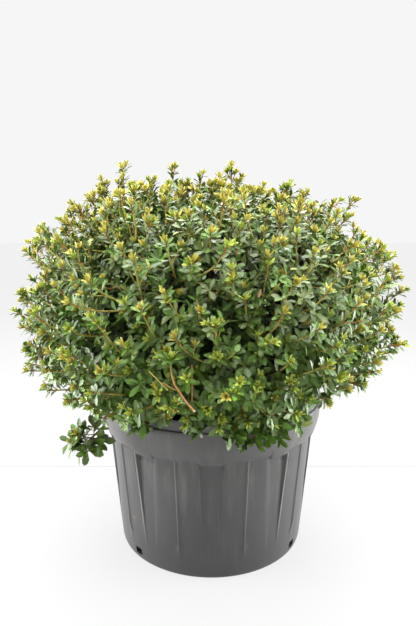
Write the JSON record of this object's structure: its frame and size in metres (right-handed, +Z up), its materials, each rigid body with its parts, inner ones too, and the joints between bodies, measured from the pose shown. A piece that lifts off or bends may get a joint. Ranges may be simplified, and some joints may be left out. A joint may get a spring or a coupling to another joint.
{
  "type": "potted azalea shrub",
  "caption": "Dense, dome-shaped evergreen azalea shrub with upright leafy shoots, in a wide round fluted nursery tub filled with soil.",
  "frame": {"origin": "centre of the tub's flat underside, on the surface that it stands on", "axes": "+Z up; -Y is the side seen in the picture, with +X to the viewer's right"},
  "size_m": [0.8807, 0.8691, 0.883],
  "materials": {
    "tub_plastic": "weathered dark grey moulded plastic",
    "potting_soil": "dark crumbly peat",
    "bark": "thin brown bark",
    "foliage": "small satin evergreen leaves"
  },
  "bodies": {
    "root": {"bough_hanging_inner": "bark", "bough_hanging_outer": "bark", "bough_shoulder_1": "bark", "bough_shoulder_2": "bark", "bough_shoulder_3": "bark", "bough_shoulder_4": "bark", "bough_skirt_1": "bark", "bough_skirt_2": "bark", "bough_skirt_3": "bark", "bough_skirt_4": "bark", "bough_skirt_5": "bark", "bough_skirt_6": "bark", "bough_top": "bark", "foliage_hanging_spray": "foliage", "foliage_shoulder_1": "foliage", "foliage_shoulder_2": "foliage", "foliage_shoulder_3": "foliage", "foliage_shoulder_4": "foliage", "foliage_skirt_1": "foliage", "foliage_skirt_2": "foliage", "foliage_skirt_3": "foliage", "foliage_skirt_4": "foliage", "foliage_skirt_5": "foliage", "foliage_skirt_6": "foliage", "foliage_top": "foliage", "main_stem": "bark", "root_ball": "potting_soil", "tub": "tub_plastic"}
  },
  "joints": []
}
